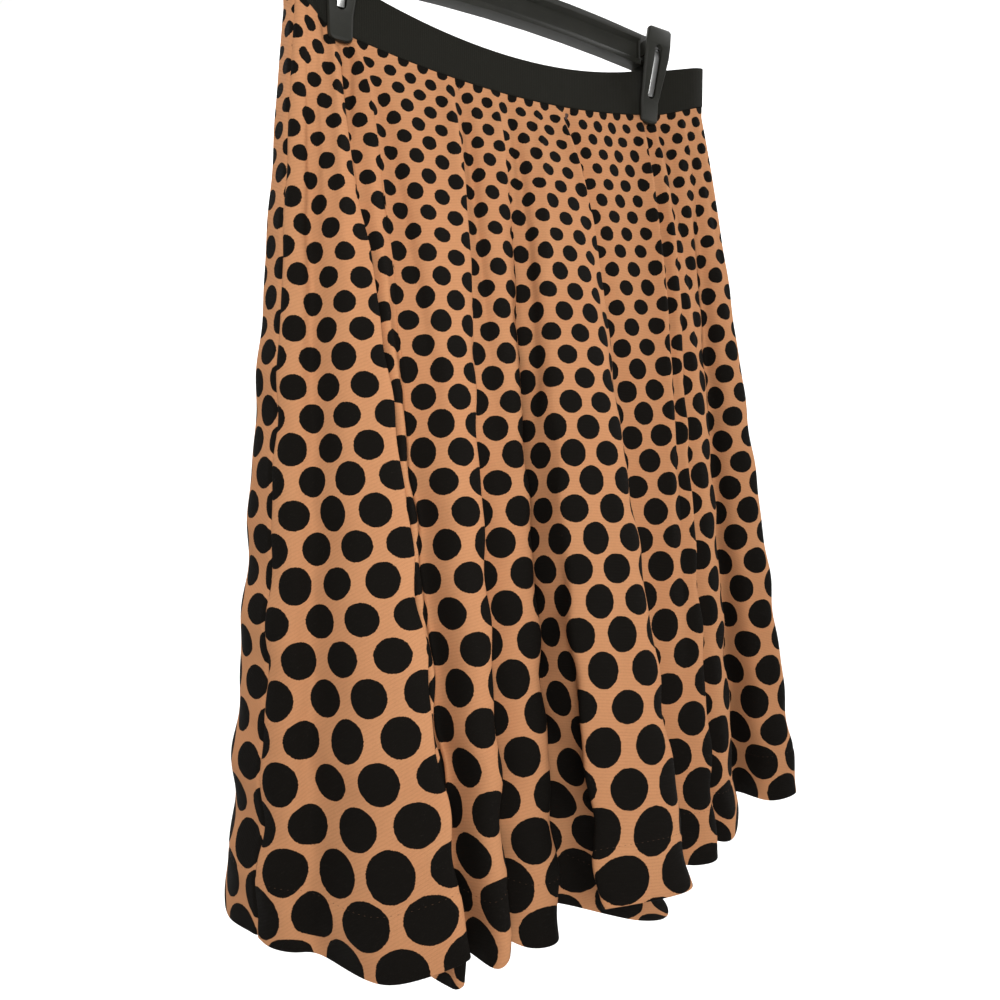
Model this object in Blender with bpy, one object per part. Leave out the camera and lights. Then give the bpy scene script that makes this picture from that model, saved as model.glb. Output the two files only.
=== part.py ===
"""A flared knit circle skirt on a clip hanger.

The skirt hangs pinched flat between the two clips of a moulded hanger. Its waistband sags a
little between the clips, and each panel falls from it in long flared folds to an uneven hem.
The origin is the top of the space inside the hook, where a rail carries it. X runs along the
hanger, and the front of the skirt faces -Y. Sizes are in metres.
"""

import math
from collections import namedtuple

import bmesh
import bpy
import numpy as np
from mathutils import Matrix, Vector

SEAM_GAP = 0.0003

# Cloth
SKIRT_WALL = 0.0015
HEM_WALL = 0.0026
BAND_WALL = 0.0022
CLOTH_BEND = 0.0042

# Waistband, as it hangs from the clips. Heights are below the rail.
CLIP_X = 0.1315
BAND_LEFT_END = -0.168
BAND_RIGHT_END = 0.194
BAND_TOP_AT_CLIP = -0.094
BAND_TOP_SAG = 0.0250
BAND_BOTTOM_AT_CLIP = -0.131
BAND_BOTTOM_SAG = 0.0165
BAND_TOP_END_RISE = 0.0135
BAND_BOTTOM_END_RISE = 0.0185
GRIP_HALF_GAP = 0.0018
GRIP_HALF_WIDTH = 0.011
BAND_BOW = 0.0060
BAND_END_BOW = 0.0080

# Share of the fall at which each row of the panels lies. The folds stay closed for the first
# 9 mm, inside the clips, and the last two rows hold the turned-up hem, 40 mm deep.
FALL_ROWS = (0, 0.015, 0.05, 0.11, 0.18, 0.26, 0.35, 0.44, 0.53, 0.62, 0.71, 0.80, 0.875, 0.932, 0.936, 1)
FOLDS_START = 0.015
FOLD_OPENING = 0.90
TUCK_OPENING = 7
HEM_STEP = 0.0125

# Each fold has a left and a right shoulder and the valley after it. The first three columns
# are where these three leave the band, along X, and the others are where they meet the hem.
Fold = namedtuple("Fold", "name band_left band_right band_valley hem_left hem_right hem_valley")

# The front, from the left side seam to the right one.
FRONT_FOLDS = (
    Fold(
        "side", -0.159, -0.154, -0.148,
        (-0.196, -0.041, -0.729), (-0.183, -0.053, -0.730), (-0.168, -0.047, -0.733),
    ),
    Fold(
        "big", -0.143, -0.134, -0.130,
        (-0.150, -0.112, -0.725), (-0.090, -0.119, -0.723), (-0.113, -0.084, -0.740),
    ),
    Fold(
        "third", -0.127, -0.1205, -0.1165,
        (-0.096, -0.090, -0.755), (-0.0785, -0.124, -0.748), (-0.074, -0.084, -0.741),
    ),
    Fold(
        "fourth", -0.083, -0.051, -0.046,
        (-0.062, -0.123, -0.736), (-0.054, -0.118, -0.735), (-0.053, -0.088, -0.737),
    ),
    Fold(
        "fifth", -0.033, -0.017, -0.013,
        (-0.041, -0.106, -0.740), (-0.019, -0.107, -0.742), (0.000, -0.056, -0.747),
    ),
    Fold(
        "centre", 0.011, 0.043, 0.061,
        (0.001, -0.124, -0.717), (0.069, -0.134, -0.717), (0.101, -0.074, -0.735),
    ),
    Fold(
        "sixth", 0.125, 0.146, 0.152,
        (0.117, -0.086, -0.736), (0.141, -0.088, -0.736), (0.153, -0.060, -0.735),
    ),
    Fold(
        "small", 0.157, 0.165, 0.170,
        (0.167, -0.072, -0.736), (0.195, -0.055, -0.736), (0.239, -0.004, -0.735),
    ),
    Fold(
        "right", 0.177, 0.187, None,
        (0.245, -0.048, -0.728), (0.279, -0.048, -0.726), None,
    ),
)

# The back, from the right side seam to the left one.
BACK_FOLDS = (
    Fold(
        "one", 0.187, 0.175, 0.162,
        (0.285, 0.032, -0.721), (0.261, 0.076, -0.733), (0.225, 0.046, -0.740),
    ),
    Fold(
        "two", 0.147, 0.127, 0.117,
        (0.209, 0.088, -0.740), (0.173, 0.101, -0.740), (0.157, 0.060, -0.747),
    ),
    Fold(
        "three", 0.099, 0.072, 0.057,
        (0.143, 0.086, -0.741), (0.099, 0.112, -0.739), (0.079, 0.048, -0.751),
    ),
    Fold(
        "four", 0.041, 0.021, 0.009,
        (0.063, 0.094, -0.740), (0.037, 0.103, -0.740), (0.023, 0.060, -0.747),
    ),
    Fold(
        "five", -0.005, -0.035, -0.051,
        (0.013, 0.099, -0.739), (-0.043, 0.113, -0.739), (-0.053, 0.046, -0.751),
    ),
    Fold(
        "six", -0.071, -0.087, -0.101,
        (-0.073, 0.090, -0.741), (-0.097, 0.095, -0.740), (-0.111, 0.058, -0.747),
    ),
    Fold(
        "seven", -0.121, -0.149, -0.159,
        (-0.123, 0.098, -0.738), (-0.169, 0.084, -0.735), (-0.183, 0.044, -0.737),
    ),
    Fold(
        "eight", -0.164, -0.1665, None,
        (-0.203, 0.046, -0.733), (-0.211, 0.008, -0.731), None,
    ),
)

# Where the side seams leave the band and meet the hem.
LEFT_SEAM = (-0.163, (-0.200, -0.027, -0.728))
RIGHT_SEAM = (0.190, (0.277, -0.008, -0.730))

# Near the hem the valley before the centre fold runs on under that fold and back, as a tuck.
# Columns: share of the way from the valley to the fold, how far it slides (x, y), hem height.
TUCK_BEFORE = "centre"
TUCK = (
    (0.30, (0.070, -0.010), -0.765),
    (0.50, (0.078, -0.014), -0.755),
    (0.72, (0.062, -0.008), -0.730),
    (0.90, (0.010, -0.001), -0.733),
)

# Hanger
BAR_TOP = -0.0640
BAR_BOTTOM = -0.0885
BAR_END_DROP = 0.0065
BAR_DEPTH = 0.0115
BAR_WEB = 0.0040
BAR_FLANGE = 0.0042
BAR_STATIONS = 14
BLOCK_HALF_WIDTH = 0.0108
BLOCK_TOP = -0.0690
BLOCK_BOTTOM = -0.0900
BACK_JAW_BOTTOM = -0.1370
BACK_JAW_WALL = 0.0032
HOOK_RADIUS = 0.0190
HOOK_THICKNESS = 0.0070
HOOK_START = math.radians(-50)
HOOK_END = math.radians(203)

# Front jaw of a clip. Columns: height, middle of the wall in Y, half width, wall.
JAW_SECTIONS = (
    (-0.0690, -0.0174, 0.0104, 0.0034),
    (-0.0710, -0.0176, 0.0120, 0.0040),
    (-0.0810, -0.0164, 0.0125, 0.0040),
    (-0.0900, -0.0148, 0.0122, 0.0040),
    (-0.1000, -0.0120, 0.0111, 0.0040),
    (-0.1140, -0.0082, 0.0097, 0.0040),
    (-0.1220, -0.0056, 0.0090, 0.0042),
    (-0.1380, -0.0053, 0.0084, 0.0042),
    (-0.1397, -0.0053, 0.0074, 0.0034),
)
JAW_CORNER = 0.0013
CHEEK_WALL = 0.0020
CHEEK_TOP = -0.0775
CHEEK_BOTTOM = -0.0885
CHEEK_HALF_SPAN = 0.0102
SLOT_HALF_WIDTH = 0.0036
SLOT_TOP = -0.0815
SLOT_BOTTOM = -0.1205

SPRING_WIDTH = 0.0052
SPRING_WALL = 0.0009
SPRING_BEND = 0.0040
SPRING_FOOT = -0.0892
SPRING_TURN = -0.0866
SPRING_TIP = -0.1184

# Colour, roughness and metallic value of each material.
CAMEL_KNIT = ((0.50, 0.26, 0.12), 0.90, 0.0)
BLACK_RIB = ((0.012, 0.011, 0.010), 0.85, 0.0)
BLACK_PLASTIC = ((0.022, 0.022, 0.018), 0.45, 0.0)
SPRING_STEEL = ((0.62, 0.62, 0.60), 0.28, 1.0)


def finish(name, mesh, finish_values, smooth_angle=40):
    """Gives the mesh an object and a material of its own, and shades it smooth."""
    colour, roughness, metallic = finish_values
    material = bpy.data.materials.new(name + "_material")
    material.use_nodes = True
    shader = material.node_tree.nodes["Principled BSDF"]
    shader.inputs["Base Color"].default_value = (*colour, 1)
    shader.inputs["Roughness"].default_value = roughness
    shader.inputs["Metallic"].default_value = metallic
    mesh.materials.clear()
    mesh.materials.append(material)
    mesh.shade_smooth()
    mesh.set_sharp_from_angle(angle=math.radians(smooth_angle))
    made = bpy.data.objects.new(name, mesh)
    bpy.context.scene.collection.objects.link(made)
    return made


def mesh_of(name, points, faces):
    mesh = bpy.data.meshes.new(name)
    mesh.from_pydata([tuple(map(float, point)) for point in points], [], faces)
    mesh.update()
    return mesh


def tube_mesh(name, loops):
    """Joins closed loops of equally many points, one after another, and caps the first and last."""
    count = len(loops[0])
    points = np.concatenate(loops)
    faces = []
    for row in range(len(loops) - 1):
        for i in range(count):
            j = (i + 1) % count
            a, b = row * count, (row + 1) * count
            faces.append((a + i, a + j, b + j, b + i))
    faces.append(tuple(range(count))[::-1])
    faces.append(tuple((len(loops) - 1) * count + i for i in range(count)))
    mesh = mesh_of(name, points, faces)
    face_outwards(mesh)
    return mesh


def face_outwards(mesh):
    shape = bmesh.new()
    shape.from_mesh(mesh)
    bmesh.ops.recalc_face_normals(shape, faces=shape.faces)
    shape.to_mesh(mesh)
    shape.free()


# ---- The cloth's form -------------------------------------------------------------------


def band_end(x):
    return np.where(x < 0, BAND_LEFT_END, BAND_RIGHT_END)


def band_line(x, at_clip, sag, end_rise):
    """Height of an edge of the band: it sags between the clips and rises past them."""
    out = np.abs(x)
    past = np.clip(out - CLIP_X, 0, None) / (np.abs(band_end(x)) - CLIP_X)
    between = 1 - np.clip(out / CLIP_X, 0, 1) ** 2
    return at_clip - sag * between + end_rise * np.clip(past, 0, 1.2) ** 1.4


def band_top(x):
    return band_line(x, BAND_TOP_AT_CLIP, BAND_TOP_SAG, BAND_TOP_END_RISE)


def band_bottom(x):
    return band_line(x, BAND_BOTTOM_AT_CLIP, BAND_BOTTOM_SAG, BAND_BOTTOM_END_RISE)


def band_half_gap(x):
    """Half the distance between the middles of the band's two layers, nothing at its ends."""
    out = np.abs(x)
    inner, outer = CLIP_X - GRIP_HALF_WIDTH, CLIP_X + GRIP_HALF_WIDTH
    bow = BAND_BOW * (1 - np.clip(out / inner, 0, 1) ** 2)
    past = np.clip((out - outer) / (np.abs(band_end(x)) - outer), 0, 1)
    bulge = BAND_END_BOW * np.sin(np.pi * 0.6 * past)
    closing = np.sqrt(1 - np.clip((past - 0.6) / 0.4, 0, 1) ** 2)
    return (GRIP_HALF_GAP + bow + bulge) * closing


def knots():
    """(band X, side, hem point, slide) of each fold line, round the skirt from the left seam."""
    found = [(LEFT_SEAM[0], -1, LEFT_SEAM[1], (0, 0))]
    for before, fold in zip((None,) + FRONT_FOLDS, FRONT_FOLDS):
        if fold.name == TUCK_BEFORE:
            start, end = np.array(before.hem_valley), np.array(fold.hem_left)
            for share, slide, height in TUCK:
                x, y, _ = start + share * (end - start)
                band = before.band_valley + share * (fold.band_left - before.band_valley)
                found.append((band, -1, (x, y, height), slide))
        found += fold_knots(fold, -1)
    right_seam = len(found)
    found.append((RIGHT_SEAM[0], -1, RIGHT_SEAM[1], (0, 0)))
    for fold in BACK_FOLDS:
        found += fold_knots(fold, 1)
    return found, right_seam


def fold_knots(fold, side):
    lines = [(fold.band_left, fold.hem_left), (fold.band_right, fold.hem_right)]
    if fold.hem_valley:
        lines.append((fold.band_valley, fold.hem_valley))
    return [(band, side, hem, (0, 0)) for band, hem in lines]


def reach(here, there):
    """Distance in plan between two hem points, each (x, y, height, slide x, slide y)."""
    apart = there - here
    return np.linalg.norm(apart[:2] + apart[3:])


def rounded_through(points, steps):
    """A closed centripetal Catmull-Rom curve: steps[i] points from points[i] to the next."""
    count = len(points)
    curve = []
    for i in range(count):
        p = [points[(i + k) % count] for k in (-1, 0, 1, 2)]
        t = [0.0]
        for a, b in zip(p, p[1:]):
            t.append(t[-1] + math.sqrt(reach(a, b)))
        at = np.linspace(t[1], t[2], steps[i], endpoint=False)[:, None]

        def between(a, b, low, high):
            return ((high - at) * a + (at - low) * b) / (high - low)

        first = [between(p[k], p[k + 1], t[k], t[k + 1]) for k in range(3)]
        second = [between(first[k], first[k + 1], t[k], t[k + 2]) for k in range(2)]
        curve.append(between(second[0], second[1], t[1], t[2]))
    return np.concatenate(curve)


def soften(loop, bend):
    """The closed loop as the cloth takes it, averaged over a bend's length of cloth."""
    steps = np.linalg.norm(np.diff(np.r_[loop, loop[:1]], axis=0)[:, :2], axis=1)
    along = np.r_[0, np.cumsum(steps)]
    even = np.linspace(0, along[-1], 2400, endpoint=False)
    closed = np.r_[loop, loop[:1]]
    path = np.stack([np.interp(even, along, closed[:, k]) for k in range(3)], 1)
    spread = bend / (along[-1] / len(even))
    reach = int(3.5 * spread) + 1
    weights = np.exp(-0.5 * (np.arange(-reach, reach + 1) / spread) ** 2)
    weights /= weights.sum()
    path = sum(w * np.roll(path, k, axis=0) for w, k in zip(weights, range(-reach, reach + 1)))
    tangent = np.roll(path, -1, axis=0) - np.roll(path, 1, axis=0)
    outward = np.stack([tangent[:, 1], -tangent[:, 0]], 1)
    outward /= np.linalg.norm(outward, axis=1)[:, None]
    table = np.c_[path, outward]
    return np.r_[even, along[-1]], np.r_[table, table[:1]], along[:-1]


class Skirt:
    """The skirt's middle surface, as level loops from the band (0) to the hem (1)."""

    def __init__(self):
        lines, right_seam = knots()
        hems = [np.array(hem + slide) for _, _, hem, slide in lines]
        lengths = [reach(a, b) for a, b in zip(hems, hems[1:] + hems[:1])]
        self.steps = [max(2, round(length / HEM_STEP)) for length in lengths]
        self.fine = [4 * step for step in self.steps]
        self.front_fine = sum(self.fine[:right_seam])
        curve = rounded_through(hems, self.fine)
        self.hem, self.slide = curve[:, :3], curve[:, 3:]
        self.band = self.band_curve(lines)

    def band_curve(self, lines):
        """The band's points, one for each hem point, evenly between the fold lines."""
        points = []
        for i, step in enumerate(self.fine):
            here, there = lines[i], lines[(i + 1) % len(lines)]
            for share in np.arange(step) / step:
                x = here[0] + share * (there[0] - here[0])
                if here[1] == there[1]:
                    y = here[1] * band_half_gap(x)
                else:
                    ends = [line[1] * band_half_gap(line[0]) for line in (here, there)]
                    y = ends[0] + share * (ends[1] - ends[0])
                points.append((x, float(y), 0.0))
        return np.array(points)

    def level(self, share):
        """Lookup of the loop at this share of the fall: distances, points and outward normals."""
        opening = max(0, (share - FOLDS_START) / (1 - FOLDS_START)) ** FOLD_OPENING
        loop = self.band.copy()
        loop[:, :2] += (self.hem[:, :2] - loop[:, :2]) * opening
        loop[:, :2] += self.slide * share**TUCK_OPENING
        start = band_bottom(self.band[:, 0]) - SEAM_GAP
        loop[:, 2] = start + (self.hem[:, 2] - start) * share
        return soften(loop, CLOTH_BEND * (0.35 + 0.65 * share))

    def row(self, share, front):
        """Points and outward normals of one panel, between seams 0.3 mm apart."""
        even, table, along = self.level(share)
        places = np.r_[along, even[-1]]
        first, last = (0, self.front_fine) if front else (self.front_fine, len(along))
        places = places[first : last + 1 : 4].copy()
        places[0] += SEAM_GAP / 2
        places[-1] -= SEAM_GAP / 2
        found = np.stack([np.interp(places, even, table[:, k]) for k in range(5)], 1)
        return found[:, :3], found[:, 3:]


def wall_mesh(name, rows, outer, inner):
    """A wall round a grid of (points, normals) rows, outer and inner from its middle.

    Both faces are split along the same diagonals, so that the wall keeps its thickness.
    """
    height, width = len(rows), len(rows[0][0])
    points = []
    for side, depths in ((1, outer), (-1, inner)):
        for (middle, outward), depth in zip(rows, depths):
            shifted = middle.copy()
            shifted[:, :2] += side * depth * outward
            points.append(shifted)
    points = np.concatenate(points)

    def at(side, row, column):
        return (side * height + row) * width + column

    faces = []
    for row in range(height - 1):
        for column in range(width - 1):
            corners = ((row, column), (row + 1, column), (row + 1, column + 1), (row, column + 1))
            spots = [rows[r][0][c] for r, c in corners]
            if np.linalg.norm(spots[0] - spots[2]) < np.linalg.norm(spots[1] - spots[3]):
                halves = ((0, 1, 2), (0, 2, 3))
            else:
                halves = ((0, 1, 3), (1, 2, 3))
            for half in halves:
                faces.append([at(0, *corners[k]) for k in half])
                faces.append([at(1, *corners[k]) for k in reversed(half)])
    for column in range(width - 1):
        for row, order in ((0, (1, 0)), (height - 1, (0, 1))):
            edge = [at(order[0], row, column), at(order[1], row, column)]
            faces.append(edge + [at(order[1], row, column + 1), at(order[0], row, column + 1)])
    for row in range(height - 1):
        for column, order in ((0, (0, 1)), (width - 1, (1, 0))):
            edge = [at(order[0], row, column), at(order[1], row, column)]
            faces.append(edge + [at(order[1], row + 1, column), at(order[0], row + 1, column)])
    mesh = mesh_of(name, points, faces)
    face_outwards(mesh)
    return mesh


def skirt_panel(skirt, name, front):
    """A panel of single knit, with its hem turned up inside to double thickness."""
    rows = [skirt.row(share, front) for share in FALL_ROWS]
    outer = [SKIRT_WALL / 2] * len(rows)
    turned_up = len(rows) - 2
    inner = [SKIRT_WALL / 2] * turned_up + [HEM_WALL - SKIRT_WALL / 2] * 2
    return finish(name, wall_mesh(name, rows, outer, inner), CAMEL_KNIT, 60)


def band_panel(skirt, name, front):
    """Half of the waistband: a flat elastic strip whose edges are slightly rounded."""
    middle, outward = skirt.row(0, front)
    top, bottom = band_top(middle[:, 0]), band_bottom(middle[:, 0])
    rows = []
    for share in (0, 0.04, 0.96, 1):
        row = middle.copy()
        row[:, 2] = top + share * (bottom - top)
        rows.append((row, outward))
    depths = [BAND_WALL / 2 * factor for factor in (0.6, 1, 1, 0.6)]
    return finish(name, wall_mesh(name, rows, depths, depths), BLACK_RIB, 60)


# ---- The hanger --------------------------------------------------------------------------


def union(first, *others):
    """Boolean union of plain meshes into the first object's mesh."""
    for other in others:
        joining = first.modifiers.new("join", "BOOLEAN")
        joining.operation = "UNION"
        joining.object = other
        apply_modifiers(first)
        bpy.data.objects.remove(other)
    return first


def cut(first, cutter):
    cutting = first.modifiers.new("cut", "BOOLEAN")
    cutting.operation = "DIFFERENCE"
    cutting.object = cutter
    apply_modifiers(first)
    bpy.data.objects.remove(cutter)


def apply_modifiers(made):
    graph = bpy.context.evaluated_depsgraph_get()
    mesh = bpy.data.meshes.new_from_object(made.evaluated_get(graph))
    made.modifiers.clear()
    made.data = mesh


def loose(name, mesh):
    made = bpy.data.objects.new(name, mesh)
    bpy.context.scene.collection.objects.link(made)
    return made


def box(name, low, high, bevel=0.0):
    shape = bmesh.new()
    middle = (Vector(low) + Vector(high)) / 2
    size = Vector(high) - Vector(low)
    bmesh.ops.create_cube(shape, size=1, matrix=Matrix.Translation(middle) @ Matrix.Diagonal((*size, 1)))
    if bevel:
        bmesh.ops.bevel(shape, geom=shape.edges, offset=bevel, segments=1, affect="EDGES")
    mesh = bpy.data.meshes.new(name)
    shape.to_mesh(mesh)
    shape.free()
    return loose(name, mesh)


def bar_drop(x):
    return BAR_END_DROP * (x / CLIP_X) ** 2


def hanger_bar():
    """The I-section between the clips, with a thin web recessed between its flanges."""
    half_depth, half_web = BAR_DEPTH / 2, BAR_WEB / 2
    end = CLIP_X - BLOCK_HALF_WIDTH + 0.002
    loops = []
    for x in np.linspace(-end, end, BAR_STATIONS + 1):
        top, bottom = BAR_TOP - bar_drop(x), BAR_BOTTOM - bar_drop(x)
        under, over = top - BAR_FLANGE, bottom + BAR_FLANGE
        outline = (
            (-half_depth, top),
            (-half_depth, under),
            (-half_web, under - half_web),
            (-half_web, over + half_web),
            (-half_depth, over),
            (-half_depth, bottom),
        )
        outline += tuple((-y, z) for y, z in reversed(outline))
        loops.append(np.array([(x, y, z) for y, z in outline]))
    return loose("hanger_frame", tube_mesh("hanger_bar", loops))


def hook():
    """A round hook moulded with the bar: a stem, a bend to one side, and the open loop."""
    path_radius = HOOK_RADIUS + HOOK_THICKNESS / 2
    centre = Vector((0, 0, -HOOK_RADIUS))
    path = [Vector((0, 0, height)) for height in (BAR_TOP - 0.006, -0.0600, -0.0530)]
    path += [Vector((0.0010, 0, -0.0480)), Vector((0.0062, 0, -0.0415))]
    for angle in np.linspace(HOOK_START, HOOK_END, 19):
        path.append(centre + path_radius * Vector((math.cos(angle), 0, math.sin(angle))))
    curve = bpy.data.curves.new("hook", "CURVE")
    curve.dimensions = "3D"
    spline = curve.splines.new("POLY")
    spline.points.add(len(path) - 1)
    for place, point in zip(path, spline.points):
        point.co = (*place, 1)
    curve.bevel_depth = HOOK_THICKNESS / 2
    curve.bevel_resolution = 3
    curve.use_fill_caps = True
    made = bpy.data.objects.new("hook", curve)
    bpy.context.scene.collection.objects.link(made)
    graph = bpy.context.evaluated_depsgraph_get()
    mesh = bpy.data.meshes.new_from_object(made.evaluated_get(graph))
    bpy.data.objects.remove(made)
    shape = bmesh.new()
    shape.from_mesh(mesh)
    bmesh.ops.remove_doubles(shape, verts=shape.verts, dist=1e-5)
    bmesh.ops.recalc_face_normals(shape, faces=shape.faces)
    shape.to_mesh(mesh)
    shape.free()
    return loose("hook", mesh)


def end_block(side):
    """The solid end of the bar at a clip, and the fixed jaw that runs down behind the band."""
    x = side * CLIP_X
    low, high = x - BLOCK_HALF_WIDTH, x + BLOCK_HALF_WIDTH
    half_depth = BAR_DEPTH / 2
    block = box("block", (low, -half_depth, BLOCK_BOTTOM), (high, half_depth + 0.0005, BLOCK_TOP), 0.0012)
    face = GRIP_HALF_GAP + BAND_WALL / 2 + SEAM_GAP
    inset = 0.0008
    foot = (low + inset, face, BACK_JAW_BOTTOM)
    head = (high - inset, face + BACK_JAW_WALL, BLOCK_TOP - 0.006)
    jaw = box("jaw", foot, head, 0.0007)
    return block, jaw


def hanger_frame():
    made = union(hanger_bar(), hook(), *end_block(-1), *end_block(1))
    mesh = made.data
    bpy.data.objects.remove(made)
    return finish("hanger_frame", mesh, BLACK_PLASTIC, 35)


def rounded_section(x, y, z, half_width, wall):
    """A level rectangle with cut corners, as a loop."""
    corner = min(JAW_CORNER, wall * 0.4)
    deep = wall / 2
    quarter = [(half_width, deep - corner), (half_width - corner, deep)]
    outline = quarter + [(-a, b) for a, b in reversed(quarter)]
    outline += [(-a, -b) for a, b in outline]
    return np.array([(x + a, y + b, z) for a, b in outline])


def front_jaw(name, side):
    """The sprung jaw: a finger tab at the top, a pad at the foot, and cheeks that rock on the block."""
    x = side * CLIP_X
    loops = [rounded_section(x, y, z, half, wall) for z, y, half, wall in JAW_SECTIONS]
    made = loose(name, tube_mesh(name, loops))
    for direction in (-1, 1):
        middle = x + direction * (CHEEK_HALF_SPAN - CHEEK_WALL / 2)
        low = (middle - CHEEK_WALL / 2, jaw_middle(CHEEK_BOTTOM), CHEEK_BOTTOM)
        high = (middle + CHEEK_WALL / 2, -BAR_DEPTH / 2 - SEAM_GAP, CHEEK_TOP)
        union(made, box("cheek", low, high))
    cut(made, slot_cutter(x))
    mesh = made.data
    bpy.data.objects.remove(made)
    return finish(name, mesh, BLACK_PLASTIC, 35)


def slot_cutter(x):
    """A long hole with round ends, straight through the jaw from front to back."""
    outline = []
    for middle, start in ((SLOT_TOP - SLOT_HALF_WIDTH, 0), (SLOT_BOTTOM + SLOT_HALF_WIDTH, math.pi)):
        for angle in np.linspace(start, start + math.pi, 7):
            across = x + SLOT_HALF_WIDTH * math.cos(angle)
            outline.append((across, middle + SLOT_HALF_WIDTH * math.sin(angle)))
    loops = [np.array([(a, y, z) for a, z in outline]) for y in (-0.030, 0.000)]
    return loose("slot", tube_mesh("slot", loops))


def jaw_middle(z):
    heights = [section[0] for section in reversed(JAW_SECTIONS)]
    return float(np.interp(z, heights, [section[1] for section in reversed(JAW_SECTIONS)]))


def clip_spring(name, side):
    """A steel strip: a foot on the block, a bend forward, and a leg down inside the jaw's slot."""
    rear = -BAR_DEPTH / 2 - SEAM_GAP - SPRING_WALL / 2
    path = [(rear, SPRING_FOOT), (rear, SPRING_TURN)]
    for angle in np.linspace(0, math.pi, 8)[1:]:
        forward = SPRING_BEND * (1 - math.cos(angle))
        path.append((rear - forward, SPRING_TURN + SPRING_BEND * 0.8 * math.sin(angle)))
    for z in np.linspace(SPRING_TURN - 0.004, SPRING_TIP, 6):
        path.append((jaw_middle(z) - 0.0002, z))
    path = np.array(path)
    along = np.gradient(path, axis=0)
    along /= np.linalg.norm(along, axis=1)[:, None]
    across = np.stack([-along[:, 1], along[:, 0]], 1) * SPRING_WALL / 2
    x, half = side * CLIP_X, SPRING_WIDTH / 2
    loops = []
    for (y, z), (out_y, out_z) in zip(path, across):
        edge = ((x - half, 1), (x + half, 1), (x + half, -1), (x - half, -1))
        loops.append(np.array([(a, y + k * out_y, z + k * out_z) for a, k in edge]))
    return finish(name, tube_mesh(name, loops), SPRING_STEEL, 35)


def build():
    for old in list(bpy.data.objects):
        bpy.data.objects.remove(old, do_unlink=True)
    skirt = Skirt()
    for name, front in (("front", True), ("back", False)):
        skirt_panel(skirt, "skirt_" + name, front)
        band_panel(skirt, "waistband_" + name, front)
    hanger_frame()
    for name, side in (("left", -1), ("right", 1)):
        front_jaw("clip_jaw_" + name, side)
        clip_spring("clip_spring_" + name, side)


build()
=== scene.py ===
"""A flared knit circle skirt with growing polka dots, pinched flat on a black clip hanger."""

import math

import bmesh
import bpy
import numpy as np
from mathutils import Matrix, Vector


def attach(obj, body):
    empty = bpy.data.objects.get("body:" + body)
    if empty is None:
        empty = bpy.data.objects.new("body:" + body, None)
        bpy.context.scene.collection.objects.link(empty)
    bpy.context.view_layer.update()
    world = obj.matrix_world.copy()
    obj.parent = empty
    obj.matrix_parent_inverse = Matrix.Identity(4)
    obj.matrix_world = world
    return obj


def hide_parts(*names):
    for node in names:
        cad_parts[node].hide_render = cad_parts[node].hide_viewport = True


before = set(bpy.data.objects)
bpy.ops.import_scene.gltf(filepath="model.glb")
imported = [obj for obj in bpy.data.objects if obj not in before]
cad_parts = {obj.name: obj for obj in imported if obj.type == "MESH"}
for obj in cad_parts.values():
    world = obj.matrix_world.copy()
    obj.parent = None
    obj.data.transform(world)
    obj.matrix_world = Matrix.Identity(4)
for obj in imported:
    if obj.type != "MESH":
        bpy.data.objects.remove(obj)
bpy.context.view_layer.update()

# ---- Skirt panels --------------------------------------------------------------------------
# Two flared panels of fine-gauge jacquard knit, camel with black dots that grow with the flare.
# They are linked together at the sides, turned up 40 mm at the hem, and hang from the pinched
# waistband in long soft folds.

PANEL_WALL = 0.0015
HEM_WALL = 0.0026
HEM_DEPTH = 0.040
FALL = 0.605
CLOTH_BEND = 0.0042
WAIST_BEND = 0.35
SEAM_GAP = 0.0003
FOLDS_START = 0.015
FOLD_OPENING = 0.90
TUCK_OPENING = 7
HEM_STEP = 0.0125

# The waistband's line between the clips, and past them. Heights are below the rail.
CLIP_X = 0.1315
BAND_LEFT_END = -0.168
BAND_RIGHT_END = 0.194
BAND_TOP_AT_CLIP = -0.094
BAND_TOP_SAG = 0.0250
BAND_BOTTOM_AT_CLIP = -0.131
BAND_BOTTOM_SAG = 0.0165
BAND_TOP_END_RISE = 0.0135
BAND_BOTTOM_END_RISE = 0.0185
BAND_END_CURVE = 1.4
GRIP_HALF_GAP = 0.0018
GRIP_HALF_WIDTH = 0.011
BAND_BOW = 0.0060
BAND_END_BOW = 0.0080
BAND_CLOSING = 0.6

# Fold lines: where each leaves the band along X, and where it meets the hem. A fold has a left
# and a right shoulder, then the valley after it.
FRONT_FOLD_LINES = (
    (-0.159, (-0.196, -0.041, -0.729)), (-0.154, (-0.183, -0.053, -0.730)),
    (-0.148, (-0.173, -0.052, -0.733)), (-0.143, (-0.1405, -0.1025, -0.7345)),
    (-0.134, (-0.090, -0.119, -0.723)), (-0.130, (-0.113, -0.084, -0.740)),
    (-0.127, (-0.101, -0.092, -0.750)), (-0.1205, (-0.0945, -0.117, -0.7415)),
    (-0.1165, (-0.080, -0.082, -0.741)), (-0.083, (-0.070, -0.121, -0.736)),
    (-0.051, (-0.061, -0.116, -0.733)), (-0.046, (-0.056, -0.086, -0.737)),
    (-0.033, (-0.041, -0.106, -0.740)), (-0.017, (-0.019, -0.107, -0.742)),
    (-0.013, (0.000, -0.056, -0.747)), (0.011, (0.001, -0.124, -0.717)),
    (0.043, (0.069, -0.134, -0.717)), (0.061, (0.101, -0.074, -0.735)),
    (0.125, (0.117, -0.086, -0.736)), (0.146, (0.141, -0.088, -0.736)),
    (0.152, (0.153, -0.060, -0.735)), (0.157, (0.167, -0.072, -0.736)),
    (0.165, (0.195, -0.055, -0.736)), (0.170, (0.239, -0.004, -0.735)),
    (0.177, (0.245, -0.048, -0.728)), (0.187, (0.279, -0.048, -0.726)),
)
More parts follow.
